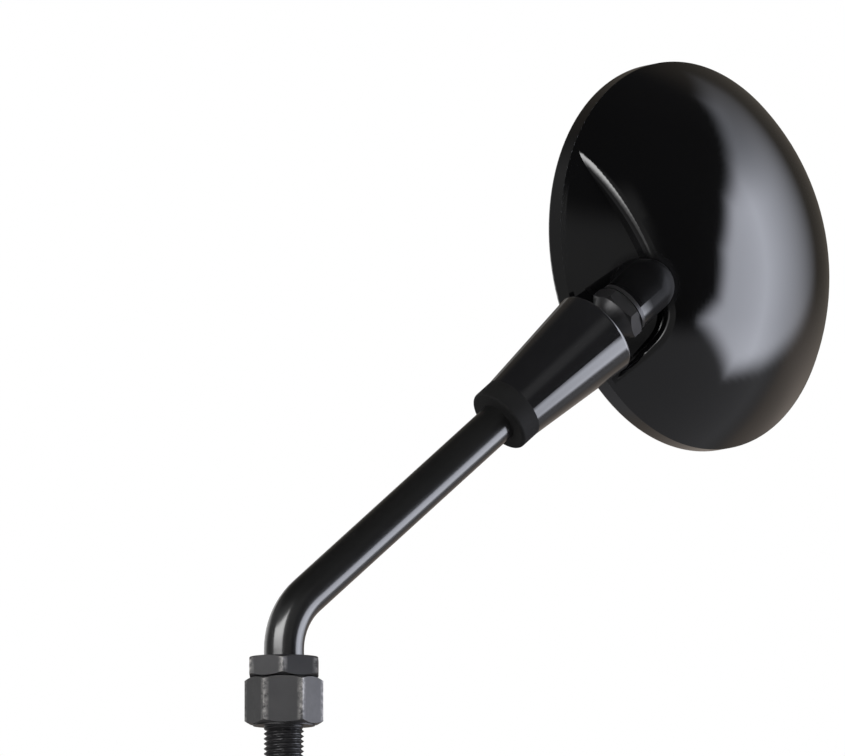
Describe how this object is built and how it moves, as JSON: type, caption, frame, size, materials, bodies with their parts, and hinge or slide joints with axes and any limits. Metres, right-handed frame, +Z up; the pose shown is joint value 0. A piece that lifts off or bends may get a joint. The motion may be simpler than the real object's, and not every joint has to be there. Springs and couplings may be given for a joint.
{
  "type": "motorcycle mirror",
  "caption": "Round handlebar mirror: a domed black head with a flat inner flank, on a ball joint at the end of a bent round stem with a threaded base.",
  "frame": {"origin": "centre of the seat that rests on the handlebar's boss, at the top of the mounting thread", "axes": "+Z up along the mounting thread, +X outboard along the stem's lean, +Y towards the rider, so that the glass looks back along +Y"},
  "size_m": [0.1905, 0.057, 0.1916],
  "materials": {
    "gloss_black": "deep gloss black",
    "satin_black": "satin black coat",
    "black_zinc": "black plated steel",
    "plain_steel": "plain bright steel",
    "black_rubber": "matt black rubber",
    "bearing_plastic": "natural bearing plastic",
    "silvered_glass": "silvered convex glass"
  },
  "bodies": {
    "base": {"base_adapter": "black_zinc"},
    "stem": {"lock_nut": "black_zinc", "stem_rod": "satin_black", "stem_end_nut": "plain_steel", "stem_collar": "black_rubber", "socket_sleeve": "satin_black", "ball_retainer": "black_zinc", "disc_springs": "plain_steel", "spring_plate": "plain_steel"},
    "joint_cup": {"pressure_cup": "bearing_plastic"},
    "joint_liner": {"ball_liner": "bearing_plastic"},
    "head": {"ball_stud": "black_zinc", "stud_washer": "black_zinc", "mirror_shell": "gloss_black", "rim_bezel": "gloss_black", "glass_gasket": "black_rubber", "mirror_glass": "silvered_glass", "glass_pad": "black_rubber", "backing_plate": "plain_steel", "plate_screws": "plain_steel"}
  },
  "joints": [
    {"name": "stem_swivel", "type": "hinge", "parent": "base", "child": "stem", "pos_m": [0, 0, 0], "axis": [0, 0, 1], "range_deg": [-45, 45]},
    {"name": "head_twist", "type": "hinge", "parent": "stem", "child": "joint_cup", "pos_m": [0.08466, 0, 0.09913], "axis": [0.7627, 0, 0.6468], "range_deg": [-30, 30]},
    {"name": "head_swing", "type": "hinge", "parent": "joint_cup", "child": "joint_liner", "pos_m": [0.08466, 0, 0.09913], "axis": [0.0982, -0.9884, -0.1158], "range_deg": [-12, 12]},
    {"name": "head_nod", "type": "hinge", "parent": "joint_liner", "child": "head", "pos_m": [0.08466, 0, 0.09913], "axis": [0.6393, 0.1518, -0.7538], "range_deg": [-12, 12]}
  ]
}
